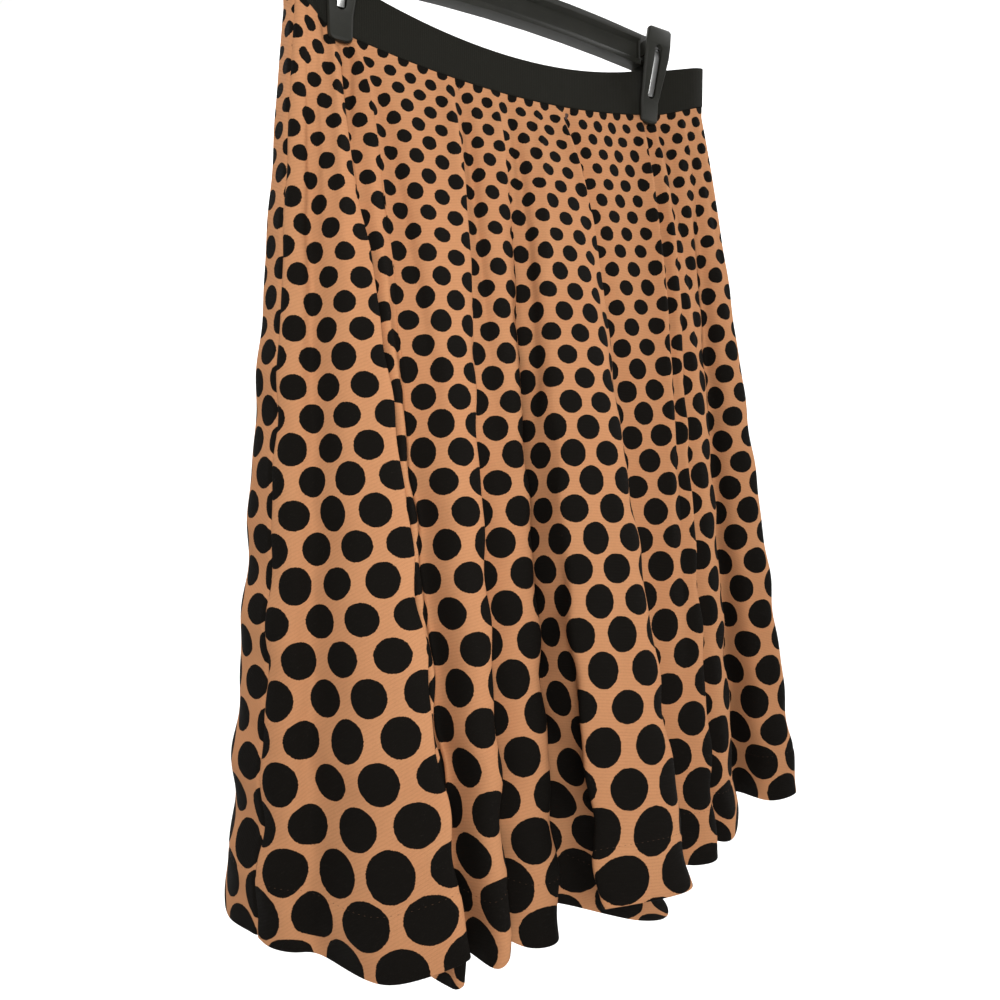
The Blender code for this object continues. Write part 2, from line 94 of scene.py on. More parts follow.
BACK_FOLD_LINES = (
    (0.187, (0.285, 0.032, -0.721)), (0.175, (0.261, 0.076, -0.733)),
    (0.162, (0.225, 0.046, -0.740)), (0.147, (0.209, 0.088, -0.740)),
    (0.127, (0.173, 0.101, -0.740)), (0.117, (0.157, 0.060, -0.747)),
    (0.099, (0.143, 0.086, -0.741)), (0.072, (0.099, 0.112, -0.739)),
    (0.057, (0.079, 0.048, -0.751)), (0.041, (0.063, 0.094, -0.740)),
    (0.021, (0.037, 0.103, -0.740)), (0.009, (0.023, 0.060, -0.747)),
    (-0.005, (0.013, 0.099, -0.739)), (-0.035, (-0.043, 0.113, -0.739)),
    (-0.051, (-0.053, 0.046, -0.751)), (-0.071, (-0.073, 0.090, -0.741)),
    (-0.087, (-0.097, 0.095, -0.740)), (-0.101, (-0.111, 0.058, -0.747)),
    (-0.121, (-0.123, 0.098, -0.738)), (-0.149, (-0.169, 0.084, -0.735)),
    (-0.159, (-0.183, 0.044, -0.737)), (-0.164, (-0.203, 0.046, -0.733)),
    (-0.1665, (-0.211, 0.008, -0.731)),
)
LEFT_SEAM_LINE = (-0.163, (-0.200, -0.027, -0.728))
RIGHT_SEAM_LINE = (0.190, (0.277, -0.008, -0.730))

# Near the hem one front valley runs on under the fold beside it and back. Columns: share of the
# way across that valley, how far it slides (x, y), hem height.
TUCK_AFTER_LINE = 14
TUCK = (
    (0.30, (0.070, -0.010), -0.765),
    (0.50, (0.078, -0.014), -0.755),
    (0.72, (0.062, -0.008), -0.730),
    (0.90, (0.010, -0.001), -0.722),
)


def band_end(x):
    return np.where(x < 0, BAND_LEFT_END, BAND_RIGHT_END)


def band_line(x, at_clip, sag, end_rise):
    out = np.abs(x)
    past = np.clip(out - CLIP_X, 0, None) / (np.abs(band_end(x)) - CLIP_X)
    between = 1 - np.clip(out / CLIP_X, 0, 1) ** 2
    return at_clip - sag * between + end_rise * np.clip(past, 0, 1.2) ** BAND_END_CURVE


def band_top(x):
    return band_line(x, BAND_TOP_AT_CLIP, BAND_TOP_SAG, BAND_TOP_END_RISE)


def band_bottom(x):
    return band_line(x, BAND_BOTTOM_AT_CLIP, BAND_BOTTOM_SAG, BAND_BOTTOM_END_RISE)


def band_half_gap(x):
    """Half the distance between the middles of the band's two layers, nothing at its ends."""
    out = np.abs(x)
    inner, outer = CLIP_X - GRIP_HALF_WIDTH, CLIP_X + GRIP_HALF_WIDTH
    bow = BAND_BOW * (1 - np.clip(out / inner, 0, 1) ** 2)
    past = np.clip((out - outer) / (np.abs(band_end(x)) - outer), 0, 1)
    bulge = BAND_END_BOW * np.sin(np.pi * BAND_CLOSING * past)
    closing = np.sqrt(1 - np.clip((past - BAND_CLOSING) / (1 - BAND_CLOSING), 0, 1) ** 2)
    return (GRIP_HALF_GAP + bow + bulge) * closing


def reach(here, there):
    """The distance between two hem knots seen from above, each moved by its slide."""
    apart = there - here
    return np.linalg.norm(apart[:2] + apart[3:])


def rounded_through(points, steps):
    """A closed centripetal Catmull-Rom curve: steps[i] points from points[i] to the next."""
    count = len(points)
    curve = []
    for i in range(count):
        p = [points[(i + k) % count] for k in (-1, 0, 1, 2)]
        t = [0.0]
        for a, b in zip(p, p[1:]):
            t.append(t[-1] + math.sqrt(reach(a, b)))
        at = np.linspace(t[1], t[2], steps[i], endpoint=False)[:, None]

        def between(a, b, low, high):
            return ((high - at) * a + (at - low) * b) / (high - low)

        first = [between(p[k], p[k + 1], t[k], t[k + 1]) for k in range(3)]
        second = [between(first[k], first[k + 1], t[k], t[k + 2]) for k in range(2)]
        curve.append(between(second[0], second[1], t[1], t[2]))
    return np.concatenate(curve)


LOOP_POINTS = 2400
BEND_REACH = 3.5


def soften(loop, bend):
    """The closed loop as the cloth takes it, averaged over a bend's length of cloth."""
    steps = np.linalg.norm(np.diff(np.r_[loop, loop[:1]], axis=0)[:, :2], axis=1)
    along = np.r_[0, np.cumsum(steps)]
    even = np.linspace(0, along[-1], LOOP_POINTS, endpoint=False)
    closed = np.r_[loop, loop[:1]]
    path = np.stack([np.interp(even, along, closed[:, k]) for k in range(3)], 1)
    spread = bend / (along[-1] / len(even))
    width = int(BEND_REACH * spread) + 1
    weights = np.exp(-0.5 * (np.arange(-width, width + 1) / spread) ** 2)
    weights /= weights.sum()
    path = sum(w * np.roll(path, k, axis=0) for w, k in zip(weights, range(-width, width + 1)))
    tangent = np.roll(path, -1, axis=0) - np.roll(path, 1, axis=0)
    outward = np.stack([tangent[:, 1], -tangent[:, 0]], 1)
    outward /= np.linalg.norm(outward, axis=1)[:, None]
    table = np.c_[path, outward]
    return np.r_[even, along[-1]], np.r_[table, table[:1]], along[:-1]


def fold_lines():
    """(band X, side, hem point, slide) round from the left seam, and the right seam's place."""
    lines = [(LEFT_SEAM_LINE[0], -1, LEFT_SEAM_LINE[1], (0, 0))]
    for i, (band, hem) in enumerate(FRONT_FOLD_LINES):
        lines.append((band, -1, hem, (0, 0)))
        if i == TUCK_AFTER_LINE:
            next_band, next_hem = FRONT_FOLD_LINES[i + 1]
            for share, slide, height in TUCK:
                x, y, _ = np.array(hem) + share * (np.array(next_hem) - np.array(hem))
                lines.append((band + share * (next_band - band), -1, (x, y, height), slide))
    right = len(lines)
    lines.append((RIGHT_SEAM_LINE[0], -1, RIGHT_SEAM_LINE[1], (0, 0)))
    lines += [(band, 1, hem, (0, 0)) for band, hem in BACK_FOLD_LINES]
    return lines, right


lines, right_seam = fold_lines()
hem_knots = [np.array(hem + slide) for _, _, hem, slide in lines]
next_knots = hem_knots[1:] + hem_knots[:1]
fine = [4 * max(2, round(reach(a, b) / HEM_STEP)) for a, b in zip(hem_knots, next_knots)]
front_steps = sum(fine[:right_seam])
hem_curve = rounded_through(hem_knots, fine)
band_curve = []
for i, count in enumerate(fine):
    here, there = lines[i], lines[(i + 1) % len(lines)]
    for share in np.arange(count) / count:
        x = here[0] + share * (there[0] - here[0])
        if here[1] == there[1]:
            y = here[1] * band_half_gap(x)
        else:
            ends = [line[1] * band_half_gap(line[0]) for line in (here, there)]
            y = ends[0] + share * (ends[1] - ends[0])
        band_curve.append((x, float(y), 0.0))
band_curve = np.array(band_curve)


# Slight sideways waves of the folds. Columns: greatest sway in metres, waves down the fall, waves
# round the loop.
SWAYS = ((0.0019, 7.1, 3), (0.0012, 11.6, -7))


def level(share):
    """The cloth's loop at this share of the fall: distances, points and outward normals."""
    opening = max(0, (share - FOLDS_START) / (1 - FOLDS_START)) ** FOLD_OPENING
    loop = band_curve.copy()
    loop[:, :2] += (hem_curve[:, :2] - loop[:, :2]) * opening
    loop[:, :2] += hem_curve[:, 3:] * share**TUCK_OPENING
    place = np.arange(len(loop)) / len(loop)
    for sway, down, around in SWAYS:
        loop[:, 0] += sway * share * np.sin(2 * math.pi * (down * share + around * place))
    start = band_bottom(band_curve[:, 0]) - SEAM_GAP
    loop[:, 2] = start + (hem_curve[:, 2] - start) * share
    return soften(loop, CLOTH_BEND * (WAIST_BEND + (1 - WAIST_BEND) * share))


# Seam edges curl inwards: distances from the seam of the extra columns there.
SEAM_COLUMNS = (0.0, 0.0007, 0.0014, 0.0022, 0.0032)
SEAM_BAND = 0.0045
SEAM_GROOVE = 0.0013
SEAM_GROOVE_WIDTH = 0.0017
ALLOWANCE_WALL = 0.0022
ALLOWANCE_WIDTH = 0.0055
ALLOWANCE_SLOPE = 0.002
HEM_PULL = 0.0005

OUTER_ROWS = 150
INNER_EVERY = 3
HEM_TURN_ROWS = 5
CLOTH_SHARP = math.radians(70)
LEVELS = {}


def level_of(share):
    key = round(share, 6)
    if key not in LEVELS:
        LEVELS[key] = level(share)
    return LEVELS[key]


def panel_row(share, front):
    """Points, outward normals, distance from the panel's first seam and panel length of one row."""
    even, table, along = level_of(share)
    first, last = (0, front_steps) if front else (front_steps, len(along))
    places = np.r_[along, even[-1]][first : last + 1]
    start, end = places[0], places[-1]
    inside = (places - start) / (end - start) * (end - start - 2 * SEAM_BAND) + SEAM_BAND
    edge = np.array(SEAM_COLUMNS)
    distance = np.r_[edge, inside, (end - start) - edge[::-1]]
    found = np.stack([np.interp(start + distance, even, table[:, k]) for k in range(5)], 1)
    return found[:, :3], found[:, 3:], distance, end - start


# Creases: soft troughs (height below 0) and ridges. Columns: shares of the panel's width at the
# start, middle and end, shares of the fall of both ends and of the greatest height, half widths
# at both ends and height in metres.
FRONT_CREASES = (
    ((0.030, 0.038, 0.043), (0.00, 0.45, 0.15), (0.0022, 0.0040), -0.0022),
    ((0.052, 0.060, 0.066), (0.00, 0.30, 0.08), (0.0020, 0.0040), 0.0012),
    ((0.078, 0.088, 0.096), (0.00, 0.40, 0.10), (0.0030, 0.0060), 0.0034),
    ((0.104, 0.112, 0.118), (0.00, 0.26, 0.07), (0.0030, 0.0042), -0.0068),
    ((0.121, 0.205, 0.262), (0.00, 0.52, 0.12), (0.0036, 0.0080), 0.0052),
    ((0.148, 0.242, 0.290), (0.00, 0.52, 0.16), (0.0036, 0.0065), -0.0042),
    ((0.225, 0.262, 0.300), (0.00, 0.24, 0.06), (0.0030, 0.0060), -0.0010),
    ((0.308, 0.332, 0.350), (0.00, 0.48, 0.13), (0.0036, 0.0065), 0.0038),
    ((0.342, 0.366, 0.384), (0.00, 0.56, 0.15), (0.0040, 0.0075), -0.0068),
    ((0.414, 0.430, 0.440), (0.00, 0.46, 0.12), (0.0038, 0.0065), 0.0038),
    ((0.452, 0.474, 0.484), (0.00, 0.44, 0.14), (0.0036, 0.0060), -0.0042),
    ((0.518, 0.508, 0.502), (0.00, 0.30, 0.07), (0.0024, 0.0048), 0.0020),
    ((0.572, 0.620, 0.632), (0.00, 0.46, 0.11), (0.0034, 0.0065), 0.0042),
    ((0.604, 0.660, 0.672), (0.00, 0.60, 0.16), (0.0040, 0.0085), -0.0074),
    ((0.735, 0.722, 0.714), (0.00, 0.26, 0.06), (0.0026, 0.0050), -0.0012),
    ((0.816, 0.736, 0.692), (0.00, 0.82, 0.20), (0.0038, 0.0066), 0.0062),
    ((0.837, 0.758, 0.713), (0.00, 0.82, 0.22), (0.0032, 0.0056), -0.0092),
    ((0.854, 0.808, 0.790), (0.00, 0.46, 0.10), (0.0038, 0.0080), 0.0032),
    ((0.884, 0.854, 0.838), (0.00, 0.44, 0.10), (0.0050, 0.0070), -0.0058),
    ((0.926, 0.914, 0.902), (0.00, 0.34, 0.09), (0.0026, 0.0055), 0.0022),
    ((0.958, 0.962, 0.964), (0.00, 0.40, 0.10), (0.0022, 0.0045), -0.0016),
    ((0.140, 0.150, 0.172), (0.52, 0.96, 0.74), (0.0060, 0.0090), -0.0028),
    ((0.215, 0.222, 0.214), (0.66, 1.04, 0.90), (0.0050, 0.0075), 0.0026),
    ((0.236, 0.240, 0.232), (0.70, 1.04, 0.88), (0.0040, 0.0055), -0.0030),
    ((0.560, 0.570, 0.575), (0.46, 0.90, 0.66), (0.0080, 0.0110), -0.0020),
    ((0.925, 0.930, 0.938), (0.40, 0.92, 0.66), (0.0060, 0.0090), -0.0026),
)
BACK_CREASES = (
    ((0.036, 0.044, 0.050), (0.00, 0.42, 0.12), (0.0024, 0.0045), -0.0020),
    ((0.112, 0.118, 0.126), (0.00, 0.50, 0.14), (0.0034, 0.0065), 0.0030),
    ((0.138, 0.146, 0.152), (0.00, 0.58, 0.16), (0.0036, 0.0060), -0.0060),
    ((0.188, 0.210, 0.224), (0.00, 0.44, 0.12), (0.0030, 0.0060), 0.0028),
    ((0.232, 0.246, 0.254), (0.00, 0.54, 0.15), (0.0034, 0.0070), -0.0050),
    ((0.302, 0.310, 0.318), (0.00, 0.28, 0.07), (0.0024, 0.0050), -0.0012),
    ((0.352, 0.366, 0.374), (0.00, 0.50, 0.15), (0.0036, 0.0060), 0.0030),
    ((0.384, 0.396, 0.402), (0.00, 0.56, 0.18), (0.0036, 0.0070), -0.0058),
    ((0.470, 0.476, 0.480), (0.00, 0.30, 0.08), (0.0024, 0.0050), 0.0014),
    ((0.500, 0.510, 0.516), (0.00, 0.46, 0.13), (0.0032, 0.0060), -0.0040),
    ((0.566, 0.560, 0.556), (0.00, 0.42, 0.12), (0.0034, 0.0065), 0.0026),
    ((0.598, 0.596, 0.592), (0.00, 0.56, 0.17), (0.0036, 0.0070), -0.0056),
    ((0.688, 0.680, 0.676), (0.00, 0.26, 0.07), (0.0026, 0.0050), -0.0012),
    ((0.742, 0.738, 0.736), (0.00, 0.50, 0.15), (0.0034, 0.0060), 0.0028),
    ((0.770, 0.764, 0.760), (0.00, 0.56, 0.16), (0.0036, 0.0065), -0.0052),
    ((0.868, 0.856, 0.846), (0.00, 0.48, 0.13), (0.0032, 0.0065), 0.0030),
    ((0.900, 0.890, 0.884), (0.00, 0.54, 0.15), (0.0034, 0.0060), -0.0056),
    ((0.956, 0.950, 0.946), (0.00, 0.40, 0.10), (0.0022, 0.0045), -0.0018),
    ((0.174, 0.180, 0.178), (0.58, 1.04, 0.86), (0.0055, 0.0085), 0.0026),
    ((0.452, 0.446, 0.448), (0.50, 0.94, 0.72), (0.0065, 0.0095), -0.0026),
    ((0.642, 0.650, 0.646), (0.62, 1.04, 0.88), (0.0050, 0.0080), -0.0030),
    ((0.818, 0.826, 0.832), (0.44, 0.88, 0.64), (0.0070, 0.0100), -0.0024),
)


# A trough takes at most this share of the way to the other panel, and a little more.
CREASE_SHARE = 0.6
CREASE_LEAST = 0.0002
CREASE_SWELL = 0.8


def crease_height(middle_row, distance, length, share, creases):
    """How far the creases lift the points of one row outwards."""
    height = np.zeros_like(distance)
    for (first, half, last), (start, end, peak), (narrow, wide), rise in creases:
        run = (share - start) / (end - start)
        if not 0 < run < 1:
            continue
        early = math.log(0.5) / math.log((peak - start) / (end - start))
        swell = math.sin(math.pi * run**early) ** CREASE_SWELL
        bow = 4 * half - first - last
        middle = first * (1 - run) ** 2 + bow * run * (1 - run) + last * run**2
        width = narrow + (wide - narrow) * run
        height += rise * swell * np.exp(-(((distance - middle * length) / width) ** 2))
    room = CREASE_SHARE * np.abs(middle_row[:, 1]) + CREASE_LEAST
    return np.where(height < 0, -room * np.tanh(-height / room), height)


def shift(middle, outward, depth):
    """Points moved outwards by each one's depth."""
    moved = middle.copy()
    moved[:, :2] += depth[:, None] * outward
    return moved


# The flat cut of a panel is a ring sector. Its radius at the waist makes the dots' pitch grow
# in step with the flare.
DOTS_ACROSS = 25
DOT_PITCH_TOP = 0.0148
DOT_PITCH_HEM = 0.0420
CUT_RADIUS = DOT_PITCH_TOP * FALL / (DOT_PITCH_HEM - DOT_PITCH_TOP)
PANEL_ANGLE = DOTS_ACROSS * DOT_PITCH_TOP / CUT_RADIUS
# It is worked out at this many levels, from every second point, in this many rounds, with each
# edge's weight held between two limits.
CUT_LEVELS = 61
CUT_EVERY = 2
CUT_ROUNDS = 70
CUT_WEIGHTS = (0.02, 20)


def flat_cut(front, creases):
    """The hung panel laid flat with the least strain: shares, and each level's (distance, x, y).

    The waist stays on its arc. Each triangle keeps its shape as nearly as its neighbours let it.
    """
    shares = np.linspace(0, 1, CUT_LEVELS)
    spots, starts, distances = [], [], []
    for share in shares:
        middle, outward, distance, length = panel_row(share, front)
        middle = shift(middle, outward, crease_height(middle, distance, length, share, creases))
        keep = np.unique(np.r_[np.arange(0, len(distance), CUT_EVERY), len(distance) - 1])
        middle, distance = middle[keep], distance[keep]
        distances.append(distance)
        spots.append(middle)
        radius = CUT_RADIUS + share * FALL
        angle = (distance - length / 2) / length * PANEL_ANGLE
        starts.append(np.stack([radius * np.sin(angle), radius * np.cos(angle)], 1))
    height, width = len(shares), len(spots[0])
    spots, flat = np.concatenate(spots), np.concatenate(starts)
    a = (np.arange(height - 1)[:, None] * width + np.arange(width - 1)[None, :]).ravel()
    corners = np.concatenate(
        [
            np.stack([a, a + width, a + width + 1], 1), np.stack([a, a + width + 1, a + 1], 1),
            np.stack([a, a + width, a + 1], 1), np.stack([a + 1, a + width, a + width + 1], 1),
        ]
    )
    one, two, three = (spots[corners[:, k]] for k in range(3))
    base = np.linalg.norm(two - one, axis=1)
    east = (two - one) / base[:, None]
    along = ((three - one) * east).sum(1)
    up = np.linalg.norm(three - one - along[:, None] * east, axis=1)
    shape = np.zeros((len(corners), 3, 2))
    shape[:, 1, 0], shape[:, 2, 0], shape[:, 2, 1] = base, along, -up
    weights = []
    within, below = np.zeros((height, width, width)), np.zeros((height, width, width))
    for k in range(3):
        i, j, far = corners[:, k], corners[:, (k + 1) % 3], (k + 2) % 3
        to_i, to_j = shape[:, k] - shape[:, far], shape[:, (k + 1) % 3] - shape[:, far]
        cross = np.abs(to_i[:, 0] * to_j[:, 1] - to_i[:, 1] * to_j[:, 0])
        weight = np.clip((to_i * to_j).sum(1) / np.maximum(cross, 1e-12), *CUT_WEIGHTS)
        weights.append(weight)
        for p in (i, j):
            np.add.at(within, (p // width, p % width, p % width), weight)
        low, high = np.minimum(i, j), np.maximum(i, j)
        same = low // width == high // width
        for p, q in ((i, j), (j, i)):
            np.add.at(within, (p[same] // width, p[same] % width, q[same] % width), -weight[same])
        p, q = low[~same], high[~same]
        np.add.at(below, (p // width, p % width, q % width), -weight[~same])
    # The rows pull only on their neighbours, so each round solves them one after another.
    undo = [None] * height
    for row in range(1, height):
        block = within[row]
        if row > 1:
            block = block - below[row - 1].T @ undo[row - 1] @ below[row - 1]
        undo[row] = np.linalg.inv(block)
    for _ in range(CUT_ROUNDS):
        now = flat[corners]
        moved = np.zeros((len(corners), 2, 2))
        for k in range(3):
            edge = now[:, k] - now[:, (k + 1) % 3]
            rest = shape[:, k] - shape[:, (k + 1) % 3]
            moved += weights[k][:, None, None] * edge[:, :, None] * rest[:, None, :]
        turn = np.arctan2(moved[:, 1, 0] - moved[:, 0, 1], moved[:, 0, 0] + moved[:, 1, 1])
        cosine, sine = np.cos(turn), np.sin(turn)
        wanted = np.zeros((len(spots), 2))
        for k in range(3):
            rest = shape[:, k] - shape[:, (k + 1) % 3]
            x, y, pull = rest[:, 0], rest[:, 1], weights[k][:, None]
            turned = np.stack([cosine * x - sine * y, sine * x + cosine * y], 1) * pull
            np.add.at(wanted, corners[:, k], turned)
            np.add.at(wanted, corners[:, (k + 1) % 3], -turned)
        wanted = wanted.reshape(height, width, 2)
        wanted[1] -= below[0].T @ flat[:width]
        for row in range(2, height):
            wanted[row] -= below[row - 1].T @ (undo[row - 1] @ wanted[row - 1])
        laid = flat.reshape(height, width, 2).copy()
        laid[-1] = undo[-1] @ wanted[-1]
        for row in range(height - 2, 0, -1):
            laid[row] = undo[row] @ (wanted[row] - below[row] @ laid[row + 1])
        flat = laid.reshape(-1, 2)
    flat = flat.reshape(height, width, 2)
    return shares, [np.c_[distance, row] for distance, row in zip(distances, flat)]


def cut_at(cut, share, distance):
    """Flat place of points of one level, at these distances from the panel's first seam."""
    shares, levels = cut
    place = min(share, 1.0) * (len(shares) - 1)
    first = min(int(place), len(shares) - 2)
    rows = []
    for k in (first - 1, first, first + 1, first + 2):
        k = min(max(k, 0), len(shares) - 1)
        table = levels[k]
        scaled = distance / distance[-1] * table[-1, 0]
        rows.append(np.stack([np.interp(scaled, table[:, 0], table[:, c]) for c in (1, 2)], 1))
    t = place - first
    a, b, c, d = rows
    return 0.5 * (
        2 * b + (c - a) * t + (2 * a - 5 * b + 4 * c - d) * t**2 + (3 * b - a - 3 * c + d) * t**3
    )


def placed(name, data):
    made = bpy.data.objects.new(name, data)
    bpy.context.scene.collection.objects.link(made)
    return made


def closed_wall(name, rows, flat, ends, wrong_from=None):
    """A wall from rows of points that go round its cross-section, each point with its flat place.

    Faces from row wrong_from on take the second material.
    """
    height, width = len(rows), len(rows[0])
    here = np.arange(height)[:, None] * width + np.arange(width - 1)[None, :]
    below = np.roll(here, -1, axis=0)
    quads = np.stack([here, below, below + 1, here + 1], -1).reshape(-1, 4)
    mesh = bpy.data.meshes.new(name)
    mesh.from_pydata(np.concatenate(rows).tolist(), [], quads.tolist() + ends)
    cloth = mesh.uv_layers.new(name="cloth")
    corner = np.empty(len(mesh.loops), int)
    mesh.loops.foreach_get("vertex_index", corner)
    cloth.data.foreach_set("uv", np.concatenate(flat)[corner].astype(np.float32).ravel())
    if wrong_from is not None:
        wrong = np.arange(len(quads) + len(ends)) // (width - 1) >= wrong_from
        wrong[len(quads) :] = False
        mesh.polygons.foreach_set("material_index", wrong.astype(np.int32))
    mesh.validate()
    shape = bmesh.new()
    shape.from_mesh(mesh)
    bmesh.ops.recalc_face_normals(shape, faces=shape.faces)
    shape.to_mesh(mesh)
    shape.free()
    mesh.shade_smooth()
    mesh.set_sharp_from_angle(angle=CLOTH_SHARP)
    return placed(name, mesh)


def panel(name, front, creases):
    """A closed wall: down the outside, round the hem's edge, up its turned part and the inside."""
    rows, flat = [], []
    cut = flat_cut(front, creases)
    hem_share = 1 - HEM_WALL / 2 / FALL
    turn_share = 1 - HEM_DEPTH / FALL
    outer_shares = np.linspace(0, hem_share, OUTER_ROWS + 1)
    outer_shares[np.abs(outer_shares - turn_share).argmin()] = turn_share

    def add(share, depth, allowance=0.0):
        middle, outward, distance, length = panel_row(min(share, 1.0), front)
        edge = np.minimum(distance, length - distance)
        groove = SEAM_GROOVE * np.exp(-((edge / SEAM_GROOVE_WIDTH) ** 2))
        lift = crease_height(middle, distance, length, share, creases)
        inner = allowance * (1 - np.clip((edge - ALLOWANCE_WIDTH) / ALLOWANCE_SLOPE, 0, 1))
        rows.append(shift(middle, outward, depth + lift - groove - inner))
        flat.append(cut_at(cut, share, distance))

    for share in outer_shares:
        add(share, PANEL_WALL / 2 - (HEM_PULL if share == turn_share else 0))
    middle_depth = (PANEL_WALL - HEM_WALL) / 2
    for angle in np.linspace(0, math.pi, HEM_TURN_ROWS + 2)[1:-1]:
        share = hem_share + HEM_WALL / 2 / FALL * math.sin(angle)
        add(share, middle_depth + HEM_WALL / 2 * math.cos(angle))
    inner_shares = outer_shares[::-INNER_EVERY]
    for share in inner_shares:
        turned = share > turn_share
        wall = HEM_WALL - PANEL_WALL / 2 if turned else PANEL_WALL / 2
        add(share, -wall, 0.0 if turned else ALLOWANCE_WALL - PANEL_WALL / 2)
    # The wrong side shows on the inside above the turned-up hem, and on the top edge.
    first_inner = OUTER_ROWS + 1 + HEM_TURN_ROWS
    turned_rows = sum(share > turn_share for share in inner_shares)
    wrong_from = first_inner - 1 + turned_rows
    width = len(rows[0])
    ends = []
    for column in (0, width - 1):
        for j in range(len(inner_shares) - 1):
            low = OUTER_ROWS - INNER_EVERY * j
            ring = [low - k for k in range(INNER_EVERY + 1)]
            ring += [first_inner + j + 1, first_inner + j]
            ends.append([row * width + column for row in (ring if column == 0 else ring[::-1])])
        ring = list(range(OUTER_ROWS, first_inner + 1))
        ends.append([row * width + column for row in (ring if column == 0 else ring[::-1])])
    return closed_wall(name, rows, flat, ends, wrong_from)


class Value:
    """A shader socket with arithmetic, which adds Math nodes to its finish."""

    def __init__(self, finish, socket):
        self.finish, self.socket = finish, socket

    def maths(self, operation, *values):
        return self.finish.node("Math", {"operation": operation}, dict(enumerate(values)))

    def __add__(self, other):
        return self.maths("ADD", self, other)

    def __sub__(self, other):
        return self.maths("SUBTRACT", self, other)

    def __rsub__(self, other):
        return self.maths("SUBTRACT", other, self)

    def __mul__(self, other):
        return self.maths("MULTIPLY", self, other)

    def __truediv__(self, other):
        return self.maths("DIVIDE", self, other)

    def __lt__(self, other):
        return self.maths("LESS_THAN", self, other)

    __radd__, __rmul__ = __add__, __mul__

    def call(self, operation, *others):
        return self.maths(operation, self, *others)

    def out(self, name):
        return Value(self.finish, self.socket.node.outputs[name])


class Finish:
    """A material whose nodes are made with node()."""

    def __init__(self, name, **shader):
        self.material = bpy.data.materials.new(name)
        self.material.use_nodes = True
        self.nodes, self.links = self.material.node_tree.nodes, self.material.node_tree.links
        self.shader = self.nodes["Principled BSDF"]
        for socket, value in shader.items():
            self.shader.inputs[socket.replace("_", " ")].default_value = value

    def node(self, kind, settings=None, inputs=None):
        made = self.nodes.new("ShaderNode" + kind)
        for key, value in (settings or {}).items():
            setattr(made, key, value)
        for key, value in (inputs or {}).items():
            if isinstance(key, int):
                socket = made.inputs[key]
            else:
                socket = next(s for s in made.inputs if s.enabled and s.name == key)
            self.set(socket, value)
        return Value(self, next(s for s in made.outputs if s.enabled))

    def set(self, socket, value):
        if isinstance(value, Value):
            self.links.new(value.socket, socket)
        elif isinstance(value, (tuple, list)) and len(value) == 3 and socket.type == "RGBA":
            socket.default_value = (*value, 1)
        else:
            socket.default_value = value

    def feed(self, **values):
        for name, value in values.items():
            self.set(self.shader.inputs[name.replace("_", " ")], value)

    def mix(self, factor, a, b):
        return self.node("Mix", {"data_type": "RGBA"}, {"Factor": factor, "A": a, "B": b})

    def bump(self, height, strength, distance):
        inputs = {"Height": height, "Strength": strength, "Distance": distance}
        return self.node("Bump", None, inputs)


# Dots: DOTS_ACROSS to a panel in every row, staggered, on rays and arcs of the flat cut. Radii
# are shares of the pitch: at the waist, then what is added by two smooth steps down the fall.
# Each dot differs by up to half of these spreads.
DOT_ROW_SHARE = 0.72
DOT_ROWS_PER_LOG = 1 / (DOT_ROW_SHARE * DOT_PITCH_TOP / CUT_RADIUS)
DOT_RADIUS = 0.288
DOT_STEPS = ((0.09, 0.50, 0.066), (0.80, 0.92, 0.044))
STRETCH_SPREAD = 0.12
PLACE_SPREAD = 0.04
SIZE_SPREAD = 0.035
WALE = 0.0011
COURSE = 0.00105
LEG_LEAN = 0.9
# The dots' edges follow the stitches in part.
STEP_SHARE = 0.25

CAMEL = (0.57, 0.278, 0.132)
CAMEL_WARM = (0.56, 0.248, 0.114)
DOT_BLACK = (0.0072, 0.0060, 0.0048)


def knit_cells(finish):
    """Metres on the flat cut, the stitch's wale and course, and the place inside the stitch."""
    split = finish.node("SeparateXYZ", None, {0: finish.node("UVMap", {"uv_map": "cloth"})})
    across, down = split.out("X"), split.out("Y")
    wale, course = across / WALE, down / COURSE
    in_wale = wale.call("FRACT")
    lean = (in_wale - 0.5).call("ABSOLUTE")
    leaned = course + lean * LEG_LEAN
    return across, down, wale.call("FLOOR"), leaned.call("FLOOR"), in_wale, leaned


def knit_relief(in_wale, leaned):
    """Height of the two legs of each stitch, of the courses, and of every second course's ridge."""
    legs = (in_wale * (4 * math.pi)).call("COSINE") * -0.5 + 0.5
    loops = (leaned * (2 * math.pi)).call("COSINE") * -0.5 + 0.5
    ridges = (leaned * math.pi).call("COSINE") * -0.5 + 0.5
    return legs * 0.25 + loops * 0.25 + ridges * 0.5


def dot_mask(finish, u, v, radius, phase_u, phase_v):
    """1 on a dot. u counts dots across, v rows down, and odd rows are half a dot along.

    Each dot has its own slight stretch, place and size.
    """
    u, v = u + phase_u, v + phase_v
    found = None
    for offset_u, offset_v in ((0.0, 0.0), (0.5, 1.0)):
        middle_u = (u - offset_u).call("ROUND") + offset_u
        middle_v = ((v - offset_v) * 0.5).call("ROUND") * 2 + offset_v
        place = finish.node("CombineXYZ", None, {0: middle_u, 1: middle_v})
        random = finish.node("TexWhiteNoise", {"noise_dimensions": "2D"}, {"Vector": place})
        parts = finish.node("SeparateXYZ", None, {0: random.out("Color")})
        stretch = 1 + (parts.out("X") - 0.5) * STRETCH_SPREAD
        x = (u - middle_u) * stretch + (parts.out("Y") - 0.5) * PLACE_SPREAD
        y = (v - middle_v) * DOT_ROW_SHARE / stretch
        size = radius + (random.out("Value") - 0.5) * SIZE_SPREAD
        inside = (x * x + y * y).call("SQRT") < size
        found = inside if found is None else found.call("MAXIMUM", inside)
    return found


